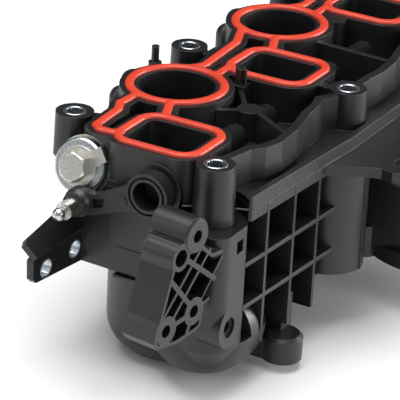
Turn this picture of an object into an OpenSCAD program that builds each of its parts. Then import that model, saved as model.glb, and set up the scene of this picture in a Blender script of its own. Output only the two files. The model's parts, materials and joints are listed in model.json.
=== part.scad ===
// Four-cylinder intake manifold with swirl flaps, millimetres, +Z up.
// Origin: middle of the port flange face. X runs from the lever end (-X) to the far end.

/* [Layout] */
// distance between neighbouring cylinders
pitch = 88; // [80:1:100]
// X of the first cylinder's centre
first_x = -132; // [-150:1:-110]
// height of the welded joint between the two shells
joint_z = -18; // [-22:0.5:-16]
// top of the deck between the ports
deck_top = -15.5; // [-17:0.5:-12]

/* [Ports] */
// X offset of the square-ish port from its cylinder
rect_dx = -22; // [-24:0.5:-20]
// Y of the square-ish port
rect_y = -7; // [-9:0.5:-5]
// X offset of the round port from its cylinder
round_dx = 24.5; // [22:0.5:26]
// Y of the round port
round_y = 16.9; // [15:0.1:19]
// radius of the round port
round_r = 15.7; // [14:0.1:17]
// half width of the square-ish port
rect_hx = 10.75; // [9:0.25:12]
// half depth of the square-ish port
rect_hy = 14; // [12:0.5:16]

/* [Gasket] */
// width of the sealing bead
bead_w = 3; // [2.6:0.1:3.4]
// height of the bead above the flange
bead_h = 1; // [0.6:0.1:1.5]

/* [Flaps] */
// Y of the flap shaft
shaft_y = -12.5; // [-13:0.5:-10]
// Z of the flap shaft
shaft_z = -14.6; // [-15:0.1:-13]
// radius of the flap shaft
shaft_r = 3; // [2.5:0.1:3.5]

/* [Hidden] */
cyl = [for (i = [0:3]) first_x + pitch * i];
bossA = [[-154, 36], [-66, 35], [22, 35], [110, 35], [183, 38]];
bossB = [[-69, -41], [19, -41], [107, -41], [174, -34]];
corner = [-166.4, -34.4];
wall = 3;
arm_a = -8;
$fa = 6;
$fs = 0.6;

// ---------- plane helpers ----------
// straight rib between two points, with square ends
module rib(a, b, w) {
  translate(a) rotate(atan2(b[1] - a[1], b[0] - a[0])) translate([0, -w / 2])
    square([norm(b - a), w]);
}

// left-hand normal of the stretch that leaves point i
function normal(pts, i) =
  let (a = max(0, min(i, len(pts) - 2)), d = pts[a + 1] - pts[a]) [-d[1], d[0]] / norm(d);

// mitre at point i, for a half width of 1
function mitre(pts, i) =
  let (m = normal(pts, i - 1), n = normal(pts, i)) (m + n) / (1 + m * n);

// ribbon of width w along a line of points
module path(pts, w) {
  last = len(pts) - 1;
  polygon(concat([for (i = [0:last]) pts[i] + mitre(pts, i) * w / 2],
    [for (i = [last:-1:0]) pts[i] - mitre(pts, i) * w / 2]));
}

module rrect(hx, hy, r) {
  square([2 * hx, 2 * (hy - r)], center = true);
  square([2 * (hx - r), 2 * hy], center = true);
  for (sx = [-1, 1], sy = [-1, 1]) translate([sx * (hx - r), sy * (hy - r)]) circle(r = r);
}

// solid of revolution about Z, from [radius, height] points
module turned(pts) {
  rotate_extrude() polygon(pts);
}

module slab(z0, z1) {
  translate([0, 0, z0]) linear_extrude(z1 - z0) children();
}

module along_x(x0, x1, y, z, r) {
  translate([x0, y, z]) rotate([0, 90, 0]) cylinder(r = r, h = x1 - x0);
}

// tilted frame of the end bolt: local +Z leaves the near end, slightly upwards
module bolt_frame() {
  translate([-167.6, 22.4, -15]) rotate([0, -74, 0]) children();
}

// frame of the actuator arm: local X along its face, local Y up, local -Z into the arm
module arm_frame() {
  translate([-172, -47, 0]) rotate([0, 0, arm_a]) rotate([90, 0, 0]) children();
}

// ---------- gasket network ----------
module bead_loops(w) {
  for (x = cyl) {
    translate([x + round_dx, round_y]) difference() {
      circle(r = 19.2 + w / 2);
      circle(r = 19.2 - w / 2);
    }
    translate([x + rect_dx, rect_y]) difference() {
      rrect(14.7 + w / 2, 17.7 + w / 2, 8 + w / 2);
      rrect(14.7 - w / 2, 17.7 - w / 2, 8 - w / 2);
    }
  }
}

module bead_links(w) {
  path([[-161, 9.4], [-164.4, 12.6], [-164.6, 18], [-161.6, 21.4], [-143.4, 22.6],
    [-137.6, 25.4], [-125.4, 24.6]], w);
  for (x = cyl) rib([x - 8.2, 3.5], [x + 7, 9.8], w);
  for (i = [0:2]) {
    x = cyl[i];
    rib([x + 41.8, 9], [x + 56.4, 9.2], w);
    path([[x + 42.2, 23], [x + 47.6, 18.9], [x + 50.4, 18.3], [x + 80.2, 20.4], [x + 86.6, 22.8],
      [x + 94, 25.6]], w);
  }
}

module bead_net(w) {
  bead_loops(w);
  bead_links(w);
}

// ---------- shell outlines ----------
// outline of the welded joint flange
module joint_outline() {
  polygon([[-172.6, -24], [-166, -34], [-160.5, -47.7], [-84, -53], [148, -53], [168, -50],
    [181, -42], [185, -30], [185.5, 30], [182, 39], [174, 44.5], [-147, 44.5],
    [-151.5, 43], [-160, 37], [-168, 31.5], [-172, 28], [-172.6, 22]]);
}

// outline of the collector wall just under the joint
module wall_outline() {
  polygon([[-172.5, -20], [-170, -27], [-160.5, -32], [168, -32], [178, -28], [182, -18],
    [182, 28], [178, 37], [168, 41], [-147, 41], [-159, 33.5], [-168.5, 27.5], [-171, 22]]);
}

// the cavity inside that wall, kept clear of the bolt channels
module cavity_outline() {
  difference() {
    polygon([[-169.5, -19.5], [-167.4, -25], [-159.8, -29], [167.4, -29], [175.8, -25.7],
      [179, -17.5], [179, 27.5], [175.7, 34.8], [167.3, 38], [-148.4, 38], [-157.4, 31],
      [-165.6, 25.6], [-168, 21]]);
    for (p = bossA) translate(p) circle(r = 10.6);
    translate(bossB[3]) circle(r = 10.6);
  }
}

module front_wall(x) {
  path([[x - 61, -41], [x - 51, -41.2], [x - 43, -42.2], [x - 29, -41.4], [x - 12, -37.8],
    [x - 2, -37], [x + 5, -35.2], [x + 12, -39]], 3.5);
}

// ---------- upper shell ----------
module port_rims() {
  for (x = cyl) {
    translate([x + round_dx, round_y]) circle(r = 23.3);
    translate([x + rect_dx, rect_y]) rrect(18.7, 21.7, 12);
  }
}

module bore_cut(z0, z1) {
  for (x = cyl) {
    translate([x + round_dx, round_y, z0]) cylinder(r = round_r, h = z1 - z0);
    translate([x + rect_dx, rect_y, z0]) linear_extrude(z1 - z0) rrect(rect_hx, rect_hy, 4);
  }
}

module upper_body() {
  slab(joint_z, deck_top) difference() {
    joint_outline();
    translate(corner) circle(r = 13.4);
  }
  slab(joint_z, -12.5) difference() {
    joint_outline();
    translate([0, 2.6]) joint_outline();
    translate([-190, -30]) square([32, 12]);
    translate(corner) circle(r = 13.4);
  }
  slab(joint_z, 0) port_rims();
  slab(deck_top - 1, 0) {
    bead_links(8.4);
    circle(r = 5);
  }
  // hanging runner ends
  for (x = cyl) {
    translate([x + round_dx, round_y, -40]) cylinder(r = 18.7, h = 30);
    translate([x + rect_dx, rect_y, -50]) linear_extrude(40) rrect(13.7, 17, 7);
  }
  // bolt towers
  for (p = bossA) translate([p[0], p[1], joint_z]) cylinder(r1 = 8.2, r2 = 7.6, h = 18);
  for (p = bossB) translate([p[0], p[1], joint_z]) cylinder(r1 = 8.2, r2 = 7.6, h = 18);
  translate([corner[0], corner[1], -23.4]) cylinder(r1 = 8.4, r2 = 7.6, h = 23.4);
  slab(deck_top - 1, -1.2) {
    rib([-154, 36], [-150, 26], 5);
    rib([-66, 35], [-66, 22], 4);
    rib([22, 35], [22, 22], 4);
    rib([110, 35], [112, 22], 4);
    rib([183, 38], [166, 27], 4);
    rib([174, -34], [150, -34], 4);
    rib([-69, -41], [-69, -27], 4);
    rib([19, -41], [19, -27], 4);
    rib([107, -41], [107, -27], 4);
  }
  // scalloped wall along the front of the ports
  slab(deck_top - 1, -1) {
    path([[-160, -33], [-157.4, -33.5], [-144, -36.2], [-139, -40], [-131, -42.2],
      [-117, -41.4], [-100, -37.8], [-90, -37], [-83, -35.2], [-76, -39]], 3.5);
    front_wall(0);
    front_wall(88);
    path([[113, -40], [126, -40.5], [150, -36], [166, -34]], 3.5);
    path([[174, -34], [179, -20], [179, 24], [183, 36]], 3.5);
  }
  // valley webs and support posts
  slab(deck_top - 1, -3) for (x = [cyl[0], cyl[2]]) {
    translate([x + 26.6, -15.6]) circle(r = 5.2);
    rib([x + 26.6, -15.6], [x + 18, -5], 2.2);
    rib([x + 27, -17], [x + 13.5, -38.5], 2.2);
    rib([x + 29, -12], [x + 42, -3], 2);
  }
  slab(deck_top - 1, -1.5) for (x = [cyl[1], cyl[3]]) rib([x + 18, -5], [x + 16, -39], 2.5);
  // cross-shaped locating pins
  for (x = [-88.5, 87.5]) translate([x, -2, 0]) {
    translate([-2.3, -0.8, -15.8]) cube([4.6, 1.6, 21.3]);
    translate([-0.8, -2.3, -15.8]) cube([1.6, 4.6, 21.3]);
    translate([-3, -3, -15.8]) cube([6, 6, 14.6]);
  }
  // small back pins and clip knuckles
  for (x = [-84, 92]) translate([x, 41, joint_z + 1]) {
    cylinder(r = 2.8, h = 14);
    cylinder(r = 1.6, h = 21);
  }
  for (x = cyl) {
    translate([x + 17, 38.2, joint_z + 1]) cylinder(r = 5, h = 9);
    translate([x + 17, 38.2, -8]) sphere(r = 5);
    translate([x + 28, 39.4, joint_z + 1]) cylinder(r = 5.2, h = 12);
    translate([x + 28, 39.4, -5]) sphere(r = 5.2);
  }
  // shaft tunnel, end boss and bolt boss
  along_x(-170, 131, shaft_y, shaft_z, 5.6);
  along_x(-173, -160, shaft_y, shaft_z, 11);
  intersection() {
    bolt_frame() translate([0, 0, -13]) cylinder(r = 11.2, h = 13);
    translate([-180, 0, -40]) cube([40, 60, 39.8]);
  }
}

module upper_shell() {
  color([0.13, 0.13, 0.14]) difference() {
    upper_body();
    bore_cut(-60, 5);
    slab(-2.3, 2) bead_net(3.6);
    for (p = concat(bossA, bossB, [corner])) translate([p[0], p[1], -30])
      cylinder(r = 4.8, h = 40);
    translate([corner[0], corner[1], -30]) cylinder(r = 7, h = 12);
    along_x(-180, -166.2, shaft_y, shaft_z, 8.75);
    along_x(-180, 129.5, shaft_y, shaft_z, 3.7);
    for (x = cyl) along_x(x - 11.1, x - 2.9, shaft_y, shaft_z, 4.65);
    bolt_frame() translate([0, 0, -11]) cylinder(r = 4.1, h = 20);
    bolt_frame() cylinder(r = 13.5, h = 20);
  }
}

// ---------- lower shell ----------
// profile of a disc of radius r and height h whose lower edge is rounded by b
module disc_half(r, b, h) {
  square([r - b, h]);
  translate([0, b]) square([r, h - b]);
  intersection() {
    translate([r - b, b]) circle(r = b);
    square([r, b + 1]);
  }
}

// the same section on both sides, run along X between two turned ends
module pan(len, r, b, h) {
  rotate_extrude() disc_half(r, b, h);
  translate([len, 0, 0]) rotate_extrude() disc_half(r, b, h);
  rotate([90, 0, 90]) linear_extrude(len) {
    translate([b - r, 0]) square([2 * r - 2 * b, h]);
    translate([-r, b]) square([2 * r, h - b]);
    for (k = [-1, 1]) translate([k * (r - b), b]) circle(r = b);
  }
}

// plenum tub, d is the inset of the cavity
module tub(d, top) {
  translate([-139, -4.5, d - 97]) pan(292.5, 27.5 - d, 15 - d, 97 - d + top);
}

// foot of the tub under the ribbed wall
module near_lobe() {
  translate([-156, -27, -91.6]) pan(6, 21.5, 17, 17.3);
}

module side_cells() {
  // upright ribs in front of the recessed wall
  for (x = [-148.3, -128.5, -110.3]) translate([x - 0.9, 0, -79]) difference() {
    translate([0, -47.4 - 0.068 * (x + 166.4), 0]) cube([1.8, 24, 60]);
  }
  // level ribs
  for (z = [-40.3, -58.4]) slab(z - 0.9, z + 0.9)
    polygon([[-163, -30], [-163, -47.6], [-96, -52.2], [-96, -30]]);
}

module corner_column() {
  translate(concat(corner, -80)) turned([[0, 0], [9, 0], [13, 6], [13, 56.5], [0, 56.5]]);
  translate([-175, -47.4, -62.6]) cube([12, 16, 39.1]);
  translate([-175, -41.4, -62.6]) cylinder(r = 6, h = 39.1);
  translate([-172, -47.4, -62.6]) rotate([-90, 0, 0]) cylinder(r = 9, h = 16);
}

module front_bulge() {
  translate([-84, -44, -70]) cylinder(r = 15, h = 50);
  translate([-85, -59.6, -70]) cube([1, 3, 47.3]);
  slab(-22.5, -18.01) polygon([[-107, -50], [-104, -56], [-98, -66], [-96.5, -71],
    [-97.5, -76], [-95, -84], [-88, -88], [-80, -86], [-76, -78], [-70, -72], [-62, -70],
    [-14, -70], [-6, -60], [-6, -50]]);
  translate([-86, -77, -24.5]) cylinder(r = 9, h = 6.4);
}

module inlet_neck() {
  translate([-25, -72, -78]) cylinder(r = 36, h = 7);
  for (sx = [-1, 1], sy = [-1, 1]) translate([-25 + 27 * sx, -72 + 27 * sy, -78])
    cylinder(r = 8, h = 14);
  translate([-25, -72, -72]) turned([[0, 0], [32, 0], [32, 46], [28, 50], [0, 50]]);
  translate([-57, -72, -72]) cube([64, 45, 50]);
}

module arm_ribs() {
  rib([-19.6, -21.3], [-43, -44.8], 1.2);
  rib([-14.6, -24.2], [-35.5, -45.4], 1.2);
  rib([-33, -20.8], [-10.8, -38.4], 2);
  rib([-37.8, -29.8], [-25.5, -44.1], 2);
  rib([-23.3, -47.3], [-39.8, -49.1], 2);
  rib([-24, -48], [-27.5, -55.9], 1.8);
  rib([-23.3, -47.3], [-14.1, -45.1], 1.2);
  translate([-32.6, -22.1]) circle(r = 5.2);
  translate([-39.6, -49.4]) circle(r = 5.8);
  translate([-23.3, -47.3]) circle(r = 5.6);
}

module arm_skin() {
  polygon([[-26, -17], [-33, -16.6], [-37.4, -20], [-37.3, -25.6], [-44, -44.7], [-45.8, -47],
    [-46.6, -52.4], [-44.6, -55.4], [-33.4, -57], [-22, -56], [-18.5, -54.6], [-18.6, -44],
    [-4.6, -28.2], [-6.4, -27.4], [-13.2, -27], [-20, -21]]);
}

module arm_cavity() {
  polygon([[-26.3, -18.6], [-32.6, -18.2], [-36, -20.8], [-35.9, -25.8], [-42.7, -45.1],
    [-44.4, -47.5], [-45.2, -52.2], [-43.8, -54.2], [-33.4, -55.7], [-22.3, -54.7],
    [-19.8, -53.7], [-19.9, -44.6], [-7, -29], [-13.6, -28.4], [-20.3, -22.9]]);
}

module arm() {
  arm_frame() {
    translate([0, 0, -15.2]) linear_extrude(2.2) {
      arm_skin();
      polygon([[-19, -54], [-19, -44], [-14, -27.5], [-1, -27.5], [-1, -47], [-8, -52]]);
    }
    translate([0, 0, -14]) linear_extrude(14) {
      arm_ribs();
      difference() {
        arm_skin();
        arm_cavity();
      }
    }
    translate([-23.7, -16.2, -17])
      turned([[0, 0], [7.2, 0], [7.2, 16.4], [6.2, 17.4], [0, 17.4]]);
  }
}

module bracket() {
  // upright leg
  translate([0, 23.5, 0]) rotate([90, 0, 0]) linear_extrude(3)
    polygon([[-205.6, -48.6], [-203.6, -50.6], [-169, -54], [-169, -40.3], [-205, -40.3],
      [-205.8, -41.2]]);
  // sloping top leg
  translate([0, 20.5, -41.2]) rotate([41, 0, 0]) linear_extrude(2.8)
    polygon([[-205.6, 0.5], [-205.6, 7.5], [-203, 9], [-185, 11], [-168, 13], [-168, 0.5]]);
}

module lower_walls() {
  slab(-54, joint_z) wall_outline();
  slab(-22.7, joint_z) joint_outline();
  tub(0, -53.5);
  near_lobe();
  side_cells();
  corner_column();
  front_bulge();
  inlet_neck();
  arm();
  bracket();
  // standing foot under the second rib
  translate([-130, -49, -93.3]) turned([[0, 0], [8.2, 0], [8.2, 9.4], [6.8, 10.8], [0, 10.8]]);
  translate([-129, -47.5, -84]) cube([8.5, 15, 15]);
  translate([-137, -49, -93]) cube([14, 22, 9]);
  // raised panels on the near end
  translate([-173.3, -24, -42]) cube([3, 31, 19]);
  translate([-173.1, -24, -56]) cube([3, 29, 1.2]);
}

module lower_shell() {
  color([0.12, 0.12, 0.13]) difference() {
    lower_walls();
    // plenum and collector cavities
    slab(-51, joint_z + 1) cavity_outline();
    tub(wall, -50);
    // seats for the bosses of the upper shell
    along_x(-180, -160, shaft_y, shaft_z, 11.3);
    bolt_frame() translate([0, 0, -30]) cylinder(r = 11.5, h = 40);
    bolt_frame() translate([0, 0, -0.4]) cylinder(r = 13.8, h = 24);
    translate([corner[0], corner[1], -23.5]) cylinder(r = 13.2, h = 10);
    // clearance beside the nearest back bolt
    translate([-173, 30.4, -24]) cube([12.7, 10, 7]);
    // bolt access from below
    translate([corner[0], corner[1], -34]) cylinder(r = 7.5, h = 26);
    for (p = concat(bossA, bossB)) translate([p[0], p[1], -74]) cylinder(r = 7.6, h = 60);
    for (p = bossA) translate([p[0] - 7.6, p[1], -74]) cube([15.2, 20, 60]);
    // column face holes
    translate([-170.4, -48, -32.9]) cube([4.8, 4, 5.2]);
    translate([-173.2, -48, -62.6]) rotate([-90, 0, 0]) cylinder(r = 4.2, h = 2);
    translate([-173.2, -48, -62.6]) rotate([-90, 0, 0]) cylinder(r = 2.6, h = 4.5);
    // grooves beside the raised panel
    translate([-175, 7, -42.9]) cube([3.5, 1, 19.9]);
    translate([-175, -24, -43.1]) cube([3.5, 32, 1.1]);
    // foot, plate, arm and bracket holes
    translate([-130, -49, -98]) cylinder(r = 3, h = 14);
    translate([-86, -77, -30]) cylinder(r = 5, h = 20);
    arm_frame() {
      translate([-23.7, -16.2, -12]) cylinder(r = 2.5, h = 20);
      translate([-32.6, -22.1, -10]) cylinder(r = 3.4, h = 20);
      translate([-39.8, -49.4, -12]) cylinder(r = 2.5, h = 20);
      translate([-23.3, -47.3, -12]) cylinder(r = 2.5, h = 20);
    }
    for (x = [-196.7, -176.2]) translate([x, 15, -46.9]) rotate([-90, 0, 0])
      cylinder(r = 4, h = 12);
    // inlet
    translate([-25, -72, -80]) cylinder(r = 27.5, h = 55);
    translate([-46, -72, -68]) cube([42.5, 46, 43]);
    translate([-25, -72, -78.01]) difference() {
      cylinder(r = 32.2, h = 3);
      translate([0, 0, -1]) cylinder(r = 29.4, h = 5);
    }
    for (sx = [-1, 1], sy = [-1, 1]) translate([-25 + 27 * sx, -72 + 27 * sy, -79])
      cylinder(r = 4.05, h = 13);
  }
}

// ---------- sealing and fixed metal pieces ----------
module port_gasket() {
  color([0.86, 0.27, 0.16]) {
    slab(-2.2, bead_h - 0.4) bead_net(bead_w);
    slab(bead_h - 0.4, bead_h) bead_net(bead_w - 0.9);
  }
}

module sleeve(ro, ri, h) {
  difference() {
    cylinder(r = ro, h = h);
    translate([0, 0, -1]) cylinder(r = ri, h = h + 2);
  }
}

module flange_sleeves() {
  color([0.75, 0.78, 0.8]) for (p = concat(bossA, bossB, [corner]))
    translate([p[0], p[1], -17.9]) sleeve(4.75, 3.4, 17.8);
}

module near_bush() {
  color([0.35, 0.34, 0.33]) translate([-172.9, shaft_y, shaft_z]) rotate([0, 90, 0])
    sleeve(8.7, 7.26, 6.4);
}

module shaft_bushes() {
  color([0.35, 0.34, 0.33]) for (x = cyl) translate([x - 11, shaft_y, shaft_z])
    rotate([0, 90, 0]) sleeve(4.6, shaft_r + 0.05, 8);
}

module backing_ring() {
  color([0.7, 0.7, 0.7]) bolt_frame() translate([0, 0, 0.05]) sleeve(12, 8, 0.7);
}

module seal_ring() {
  color([0.06, 0.06, 0.06]) bolt_frame() translate([0, 0, 0.8]) sleeve(10.8, 4.3, 2.2);
}

module cup_washer() {
  color([0.8, 0.8, 0.79]) bolt_frame() difference() {
    translate([0, 0, 3.05]) turned([[0, 0], [11, 0], [11, 1.1], [10.3, 1.7], [0, 1.7]]);
    cylinder(r = 4.3, h = 10);
  }
}

module tab_washer() {
  color([0.82, 0.82, 0.8]) bolt_frame() translate([0, 0, 4.8]) {
    linear_extrude(0.9) difference() {
      union() {
        circle(r = 8.2);
        rotate(-55) translate([0, -3.2]) square([12.6, 6.4]);
      }
      circle(r = 4.3);
    }
    rotate(-55) translate([11.7, -3.2, -3.2]) cube([0.9, 6.4, 3.7]);
  }
}

module end_bolt() {
  color([0.84, 0.83, 0.8]) bolt_frame() {
    translate([0, 0, -10]) cylinder(r = 3.95, h = 16);
    translate([0, 0, 5.75]) intersection() {
      rotate(12) cylinder(r = 6.3, h = 4.9, $fn = 6);
      cylinder(r1 = 11, r2 = 5.2, h = 4.9);
    }
  }
}

module bracket_sleeves() {
  color([0.75, 0.78, 0.8]) for (x = [-196.7, -176.2]) translate([x, 20.4, -46.9])
    rotate([-90, 0, 0]) sleeve(3.95, 3.3, 3.6);
}

module inlet_seal() {
  color([0.07, 0.07, 0.07]) translate([-25, -72, -76.6]) rotate_extrude()
    translate([30.8, 0]) circle(r = 1.3);
}

module inlet_inserts() {
  color([0.78, 0.62, 0.3]) for (sx = [-1, 1], sy = [-1, 1])
    translate([-25 + 27 * sx, -72 + 27 * sy, -77.9]) sleeve(4, 2.6, 11);
}

// ---------- turning pieces ----------
module flap_shaft() {
  color([0.62, 0.62, 0.6]) along_x(-168.9, 128.5, shaft_y, shaft_z, shaft_r);
}

module flap(i) {
  color([0.2, 0.2, 0.21]) translate([cyl[i] + rect_dx, shaft_y, shaft_z]) difference() {
    union() {
      translate([-10.2, -5.9, -1]) cube([20.4, 22.5, 2]);
      rotate([0, 90, 0]) translate([0, 0, -10.2]) cylinder(r = 4.4, h = 20.4);
    }
    rotate([0, 90, 0]) translate([0, 0, -12]) cylinder(r = shaft_r + 0.02, h = 24);
  }
}

module flap_1() { flap(0); }

module flap_2() { flap(1); }

module flap_3() { flap(2); }

module flap_4() { flap(3); }

// lever drawn in the plane of its plate: local X is row Y, local Y is row Z
module lever_frame() {
  translate([-179.5, 0, 0]) rotate([90, 0, 90]) children();
}

module lever_plate() {
  difference() {
    polygon([[-9, -6], [-3, -12.6], [11, -20.2], [17, -19.4], [19, -28.6], [12, -29],
      [-4, -22.8], [-14, -21]]);
    polygon([[6, -20.6], [12.3, -22.2], [12, -26], [7, -24.6]]);
  }
}

module flap_lever() {
  color([0.15, 0.15, 0.16]) difference() {
    union() {
      lever_frame() linear_extrude(3.5) lever_plate();
      along_x(-179.9, -173.5, shaft_y, shaft_z, 9.1);
      along_x(-174, -166.6, shaft_y, shaft_z, 7.2);
      translate([-175.8, 17.1, -24.5]) rotate([0, -90, 0]) rotate_extrude()
        polygon([[0, 0], [4.6, 0], [5.9, 1.6], [6.2, 3.4], [5.8, 5.4], [4.9, 7], [4.9, 8], [0, 8]]);
      along_x(-180.2, -178, -2, -19.4, 2.2);
    }
    along_x(-190, -170.6, shaft_y, shaft_z, 5.8);
    translate([-181, shaft_y, shaft_z]) rotate([0, 90, 0]) difference() {
      cylinder(r = 7.9, h = 3.1);
      translate([0, 0, -1]) cylinder(r = 7, h = 5);
    }
    along_x(-171, -160, shaft_y, shaft_z, shaft_r + 0.02);
    along_x(-190, -177.5, 17.1, -24.5, 3.02);
  }
}

module lever_pin() {
  color([0.8, 0.79, 0.77]) {
    along_x(-184, -177.55, 17.1, -24.5, 3);
    along_x(-190.8, -183.8, 17.1, -24.5, 3.5);
    along_x(-192.7, -190.7, 17.1, -24.5, 2.1);
    translate([-193.9, 17.1, -24.5]) sphere(r = 2.6);
  }
}

upper_shell();
lower_shell();
port_gasket();
flange_sleeves();
near_bush();
shaft_bushes();
end_bolt();
tab_washer();
cup_washer();
seal_ring();
backing_ring();
bracket_sleeves();
inlet_seal();
inlet_inserts();
flap_shaft();
flap_1();
flap_2();
flap_3();
flap_4();
flap_lever();
lever_pin();
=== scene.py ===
import json
import math
import random

import bmesh
import bpy
from mathutils import Matrix, Vector


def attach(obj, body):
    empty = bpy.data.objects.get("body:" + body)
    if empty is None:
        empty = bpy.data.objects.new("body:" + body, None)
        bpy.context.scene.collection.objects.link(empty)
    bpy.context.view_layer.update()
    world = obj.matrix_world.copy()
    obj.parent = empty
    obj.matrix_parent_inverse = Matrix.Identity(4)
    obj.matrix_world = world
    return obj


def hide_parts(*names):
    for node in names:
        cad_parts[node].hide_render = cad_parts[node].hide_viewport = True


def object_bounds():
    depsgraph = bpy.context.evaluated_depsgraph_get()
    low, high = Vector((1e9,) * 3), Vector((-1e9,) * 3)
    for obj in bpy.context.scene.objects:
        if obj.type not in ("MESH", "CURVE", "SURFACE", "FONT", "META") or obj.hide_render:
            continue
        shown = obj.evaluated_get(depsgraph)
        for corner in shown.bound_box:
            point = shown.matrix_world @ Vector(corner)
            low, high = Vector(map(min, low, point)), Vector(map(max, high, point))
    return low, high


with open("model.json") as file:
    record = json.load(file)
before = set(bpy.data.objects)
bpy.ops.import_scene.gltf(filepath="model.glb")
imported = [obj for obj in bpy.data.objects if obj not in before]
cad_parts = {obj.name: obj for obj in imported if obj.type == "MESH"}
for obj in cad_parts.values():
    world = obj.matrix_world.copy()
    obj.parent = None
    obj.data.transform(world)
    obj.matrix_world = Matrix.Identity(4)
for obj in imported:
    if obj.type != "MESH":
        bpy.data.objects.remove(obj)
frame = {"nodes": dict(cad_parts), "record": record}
CAD_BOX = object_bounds()
MM = 0.001

# the camera: where it stands in metres, the way it looks, its roll and its lens
EYE = Vector((-0.9142, -0.4351, 0.3746))
LOOK = Vector((0.7982, 0.4342, -0.4176))
ROLL = math.radians(2.91)
LENS_MM = 223.0
SENSOR_MM = 36.0
FAR_CLIP = 20.0

# half the side of the floor, and how far it lies below the part, in metres
FLOOR_HALF = 4.0
FLOOR_GAP = 0.5 * MM

# the world is dim on the side that this points to and bright on the other side
DIM_SIDE = (0.88, 0.42, 0.2)
BRIGHT, DIM = 0.3, 0.05

# a noise texture's values lie mostly between these two
NOISE_LOW, NOISE_HIGH = 0.3, 0.7
# noise scale of the slow colour changes on every surface
CLOUD_SCALE = 60.0
# height of the fine grain and radius of a rounded edge, in metres
GRAIN_DEPTH = 0.2 * MM
EDGE_RADIUS = 0.4 * MM
BEAD_EDGE_RADIUS = 0.3 * MM
# true and rounded normal agree this well on a flat face and on a sharp edge
FLAT_MATCH, EDGE_MATCH = 0.995, 0.8

# the part's own measures that the added pieces follow, in mm
CYLINDERS = 4
PITCH = 88
DECK_TOP = -15.5
JOINT_Z = -18
# outline of the welded joint, open at the lever end
WELD_LINE = [(-172.6, -24), (-166, -34), (-160.5, -47.7), (-84, -53), (148, -53), (168, -50),
             (181, -42), (185, -30), (185.5, 30), (182, 39), (174, 44.5), (-147, 44.5),
             (-151.5, 43), (-160, 37), (-168, 31.5)]
# distance between two sections of the weld's flash
FLASH_STEP = 1.3

# sections as (radius, height) in mm: a sleeve's rounded lip, and an ejector mark above the deck
LIP_SECTION = [(3.42, -0.6), (3.42, -0.05), (3.7, 0.12), (4.2, 0.16), (4.7, 0.02), (4.78, -0.3),
               (4.72, -0.6)]
MARK_SECTION = [(2.2, -0.12), (2.2, 0.12), (2.0, 0.16), (1.75, 0.12), (1.75, -0.12)]
# an ejector mark's place, from the middle of its cylinder, and the sides of every ring
MARK_X, MARK_Y = 24, -26
RING_SIDES = 40


def add_object(name, data):
    obj = bpy.data.objects.new(name, data)
    bpy.context.scene.collection.objects.link(obj)
    return obj


# ---------- camera, floor and light ----------
def make_camera():
    data = bpy.data.cameras.new("camera")
    data.lens = LENS_MM
    data.sensor_width = SENSOR_MM
    data.clip_end = FAR_CLIP
    cam = add_object("camera", data)
    cam.location = EYE
    turn = LOOK.to_track_quat("-Z", "Y").to_matrix().to_4x4() @ Matrix.Rotation(ROLL, 4, "Z")
    cam.rotation_mode = "QUATERNION"
    cam.rotation_quaternion = turn.to_quaternion()
    bpy.context.scene.camera = cam


def make_floor(height):
    half = FLOOR_HALF
    mesh = bpy.data.meshes.new("floor")
    square = [(-half, -half), (half, -half), (half, half), (-half, half)]
    mesh.from_pydata([(x, y, height) for x, y in square], [], [(0, 1, 2, 3)])
    floor = add_object("floor", mesh)
    mat, shader = new_material("pale_floor")
    shader.inputs["Base Color"].default_value = (0.9, 0.9, 0.9, 1)
    shader.inputs["Roughness"].default_value = 0.7
    mesh.materials.append(mat)


def area_light(name, place, target, size, power):
    """rectangular lamp that faces its target; lengths in metres, power in watts"""
    data = bpy.data.lights.new(name, "AREA")
    data.shape = "RECTANGLE"
    data.size, data.size_y = size
    data.energy = power
    lamp = add_object(name, data)
    lamp.location = place
    lamp.rotation_mode = "QUATERNION"
    lamp.rotation_quaternion = (Vector(target) - Vector(place)).to_track_quat("-Z", "Y")


def make_world():
    """white all round, bright from the lever end and the ribbed wall, dim from the far end and back"""
    world = bpy.data.worlds.new("studio")
    world.use_nodes = True
    nodes, links = world.node_tree.nodes, world.node_tree.links
    coords = nodes.new("ShaderNodeTexCoord").outputs["Generated"]
    dot = nodes.new("ShaderNodeVectorMath")
    dot.operation = "DOT_PRODUCT"
    dot.inputs[1].default_value = DIM_SIDE
    links.new(coords, dot.inputs[0])
    strength = span(nodes, links, dot.outputs["Value"], -0.2, 0.5, BRIGHT, DIM)
    sky = nodes["Background"]
    sky.inputs["Color"].default_value = (1, 1, 1, 1)
    links.new(strength, sky.inputs["Strength"])
    bpy.context.scene.world = world


def make_lights():
    centre = (-0.12, 0.0, -0.03)
    area_light("top_box", (-0.25, 0.1, 1.2), centre, (1.2, 1.0), 22)
    area_light("left_box", (-0.9, 0.9, 0.5), centre, (0.25, 0.9), 2.5)
    area_light("front_box", (-0.3, -1.3, 0.3), centre, (0.35, 0.6), 4.5)
    area_light("right_box", (0.8, -0.95, 0.2), centre, (0.7, 0.35), 16)


# ---------- materials ----------
def new_material(name):
    mat = bpy.data.materials.new(name)
    mat.use_nodes = True
    return mat, mat.node_tree.nodes["Principled BSDF"]


def noise_node(nodes, links, coords, scale, detail=3.0, rough=0.55):
    tex = nodes.new("ShaderNodeTexNoise")
    tex.inputs["Scale"].default_value = scale
    tex.inputs["Detail"].default_value = detail
    tex.inputs["Roughness"].default_value = rough
    links.new(coords, tex.inputs["Vector"])
    return tex.outputs["Fac"]


def span(nodes, links, value, low, high, to_low, to_high):
    """value's range from low to high, spread over to_low to to_high"""
    node = nodes.new("ShaderNodeMapRange")
    ends = {"From Min": low, "From Max": high, "To Min": to_low, "To Max": to_high}
    for socket, number in ends.items():
        node.inputs[socket].default_value = number
    links.new(value, node.inputs["Value"])
    return node.outputs["Result"]


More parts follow.
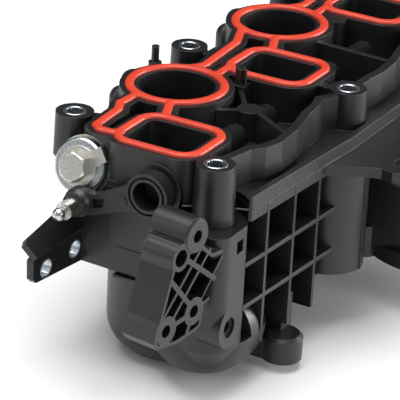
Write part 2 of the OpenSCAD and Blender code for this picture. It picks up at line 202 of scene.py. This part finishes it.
def mixed(nodes, links, factor, low, high):
    """colour from low, which is a colour or a node's output, to the colour high"""
    node = nodes.new("ShaderNodeMix")
    node.data_type = "RGBA"
    if isinstance(low, tuple):
        node.inputs["A"].default_value = (*low, 1)
    else:
        links.new(low, node.inputs["A"])
    node.inputs["B"].default_value = (*high, 1)
    links.new(factor, node.inputs["Factor"])
    return node.outputs["Result"]


def edge_share(nodes, links, radius):
    """rounded normal of the edges, and how near a point is to an edge"""
    bevel = nodes.new("ShaderNodeBevel")
    bevel.samples = 4
    bevel.inputs["Radius"].default_value = radius
    plain = nodes.new("ShaderNodeNewGeometry")
    dot = nodes.new("ShaderNodeVectorMath")
    dot.operation = "DOT_PRODUCT"
    links.new(bevel.outputs["Normal"], dot.inputs[0])
    links.new(plain.outputs["Normal"], dot.inputs[1])
    near = span(nodes, links, dot.outputs["Value"], FLAT_MATCH, EDGE_MATCH, 0.0, 1.0)
    return bevel.outputs["Normal"], near


def surface(name, low, high, rough, grain, bump, edge_highlight=None, metallic=0.0,
            edge_radius=EDGE_RADIUS, specular=0.5):
    """Material of a moulded, plated or turned surface.

    Its colour is clouded between low and high and, where an edge colour is given, turns to that lighter
    colour near edges: a painted highlight along the edges.
    The fine noise of scale grain drives the roughness over the range rough, and a bump of strength bump.
    """
    mat, shader = new_material(name)
    nodes, links = mat.node_tree.nodes, mat.node_tree.links
    coords = nodes.new("ShaderNodeTexCoord").outputs["Object"]
    soft = noise_node(nodes, links, coords, CLOUD_SCALE)
    fine = noise_node(nodes, links, coords, grain, detail=4.0, rough=0.6)
    cloud = span(nodes, links, soft, NOISE_LOW, NOISE_HIGH, 0, 1)
    colour = mixed(nodes, links, cloud, low, high)
    normal, near = edge_share(nodes, links, edge_radius)
    # painted highlight: the lighter edge colour is mixed in near edges and stands in for light caught by
    # rounded edges
    if edge_highlight:
        colour = mixed(nodes, links, near, colour, edge_highlight)
    links.new(colour, shader.inputs["Base Color"])
    links.new(span(nodes, links, fine, NOISE_LOW, NOISE_HIGH, *rough), shader.inputs["Roughness"])
    tilt = nodes.new("ShaderNodeBump")
    tilt.inputs["Strength"].default_value = bump
    tilt.inputs["Distance"].default_value = GRAIN_DEPTH
    links.new(fine, tilt.inputs["Height"])
    links.new(normal, tilt.inputs["Normal"])
    links.new(tilt.outputs["Normal"], shader.inputs["Normal"])
    shader.inputs["Metallic"].default_value = metallic
    shader.inputs["Specular IOR Level"].default_value = specular
    return mat


# the edge colours given below are painted highlights along rounded edges
SHELL = surface("shell_plastic", (0.005, 0.005, 0.0055), (0.009, 0.009, 0.0095),
                (0.33, 0.5), 1500, 0.16, edge_highlight=(0.03, 0.03, 0.032), specular=0.55)
FLAP = surface("flap_plastic", (0.008, 0.008, 0.0085), (0.014, 0.014, 0.0145),
               (0.34, 0.48), 1800, 0.1, edge_highlight=(0.035, 0.035, 0.036))
SILICONE = surface("gasket_silicone", (0.54, 0.04, 0.017), (0.65, 0.056, 0.024),
                   (0.34, 0.46), 900, 0.06, edge_radius=BEAD_EDGE_RADIUS)
RUBBER = surface("black_rubber", (0.012, 0.012, 0.012), (0.02, 0.02, 0.02),
                 (0.45, 0.6), 1200, 0.1)
ZINC = surface("zinc_plate", (0.50, 0.56, 0.62), (0.62, 0.66, 0.70),
               (0.22, 0.36), 1400, 0.03, edge_highlight=(0.75, 0.78, 0.8), metallic=1.0)
BOLT = surface("bright_steel", (0.62, 0.61, 0.57), (0.74, 0.73, 0.68),
               (0.26, 0.42), 1100, 0.08, edge_highlight=(0.85, 0.84, 0.8), metallic=1.0)
SHAFT = surface("ground_steel", (0.52, 0.51, 0.49), (0.64, 0.63, 0.6),
                (0.22, 0.34), 1600, 0.08, edge_highlight=(0.75, 0.74, 0.7), metallic=1.0)
BUSH = surface("bearing_plastic", (0.03, 0.029, 0.027), (0.05, 0.048, 0.045),
               (0.4, 0.55), 1500, 0.1)
BRASS = surface("brass", (0.62, 0.42, 0.16), (0.74, 0.54, 0.24),
                (0.25, 0.4), 1300, 0.1, edge_highlight=(0.85, 0.66, 0.36), metallic=1.0)
BY_SLOT = {"shell": SHELL, "flap_plastic": FLAP, "gasket": SILICONE, "black_rubber": RUBBER,
           "zinc": ZINC, "bolt_steel": BOLT, "shaft_steel": SHAFT, "bush": BUSH, "brass": BRASS}


def paint(mesh, material):
    mesh.materials.clear()
    mesh.materials.append(material)


def dress_nodes():
    """gives every CAD node the material of its slot in the record"""
    slots = {part["node"]: part["material_slot"] for part in frame["record"]["subparts"]}
    for name, obj in frame["nodes"].items():
        paint(obj.data, BY_SLOT[slots[name]])


# ---------- pieces ----------
def add_piece(name, mesh, material, body="housing"):
    obj = add_object(name, mesh)
    paint(mesh, material)
    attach(obj, body)
    return obj


def mesh_from(bm, name):
    bmesh.ops.recalc_face_normals(bm, faces=bm.faces)
    mesh = bpy.data.meshes.new(name)
    bm.to_mesh(mesh)
    bm.free()
    return mesh


def make_bead():
    """the soft round bead, from the gasket's own outline"""
    source = frame["nodes"]["port_gasket"]
    mesh = source.data.copy()
    if "custom_normal" in mesh.attributes:
        mesh.attributes.remove(mesh.attributes["custom_normal"])
    mesh.transform(source.matrix_world)
    bead = add_piece("gasket_bead", mesh, SILICONE)
    weld = bead.modifiers.new("weld", "WELD")
    weld.merge_threshold = 0.01 * MM
    skin = bead.modifiers.new("skin", "REMESH")
    skin.mode = "VOXEL"
    skin.voxel_size = 0.45 * MM
    skin.use_smooth_shade = True
    soft = bead.modifiers.new("soft", "SMOOTH")
    soft.factor = 0.5
    soft.iterations = 3
    swell = bead.modifiers.new("swell", "DISPLACE")
    swell.mid_level = 0.0
    swell.strength = 0.3 * MM
    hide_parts("port_gasket")


def flash_section(rng):
    """the flash's four corners as (distance out of the wall, height above the joint), in mm"""
    reach = 0.12 + 0.4 * rng.random() ** 2
    lift = rng.uniform(-0.15, 0.15)
    return [(-0.3, -0.45), (reach, -0.2 + lift), (reach, 0.15 + lift), (-0.3, 0.4)]


def make_flash():
    """ragged bead of plastic pressed out of the welded joint"""
    rng = random.Random(7)
    bm = bmesh.new()
    rows = []
    for (x0, y0), (x1, y1) in zip(WELD_LINE, WELD_LINE[1:]):
        run = math.hypot(x1 - x0, y1 - y0)
        out_x, out_y = (y1 - y0) / run, -(x1 - x0) / run
        count = max(2, int(run / FLASH_STEP))
        for k in range(count):
            x, y = x0 + (x1 - x0) * k / count, y0 + (y1 - y0) * k / count
            corners = [((x + out_x * d) * MM, (y + out_y * d) * MM, (JOINT_Z + h) * MM)
                       for d, h in flash_section(rng)]
            rows.append([bm.verts.new(corner) for corner in corners])
    for a, b in zip(rows, rows[1:]):
        for k in range(4):
            bm.faces.new((a[k], a[(k + 1) % 4], b[(k + 1) % 4], b[k]))
    bm.faces.new(rows[0][::-1])
    bm.faces.new(rows[-1])
    add_piece("weld_flash", mesh_from(bm, "weld_flash"), SHELL)


def ring_mesh(name, section):
    """closed ring about Z, from the (radius, height) corners of its section, in mm"""
    bm = bmesh.new()
    loops = []
    for radius, height in section:
        turns = [2 * math.pi * k / RING_SIDES for k in range(RING_SIDES)]
        loops.append([bm.verts.new((radius * math.cos(turn) * MM, radius * math.sin(turn) * MM, height * MM))
                      for turn in turns])
    for a, b in zip(loops, loops[1:] + loops[:1]):
        for k in range(RING_SIDES):
            after = (k + 1) % RING_SIDES
            face = bm.faces.new((a[k], a[after], b[after], b[k]))
            face.smooth = True
    return mesh_from(bm, name)


def make_sleeve_lips():
    """rounded bright lip at the top of each bolt sleeve"""
    places = [mount["pos_m"] for mount in frame["record"]["mounts"] if "_bolt_" in mount["name"]]
    for number, (x, y, _) in enumerate(places, 1):
        name = f"sleeve_lip_{number}"
        lip = add_piece(name, ring_mesh(name, LIP_SECTION), ZINC)
        lip.location = (x, y, 0)


def make_ejector_marks():
    """shallow round marks left by the mould's pins on the deck"""
    section = [(radius, DECK_TOP + height) for radius, height in MARK_SECTION]
    for k in range(CYLINDERS):
        x = (k - (CYLINDERS - 1) / 2) * PITCH
        name = f"ejector_mark_{k + 1}"
        mark = add_piece(name, ring_mesh(name, section), SHELL)
        mark.location = ((x + MARK_X) * MM, MARK_Y * MM, 0)


make_camera()
make_floor(CAD_BOX[0].z - FLOOR_GAP)
make_world()
make_lights()
bpy.context.scene.view_settings.view_transform = "Standard"
dress_nodes()
make_bead()
make_flash()
make_sleeve_lips()
make_ejector_marks()
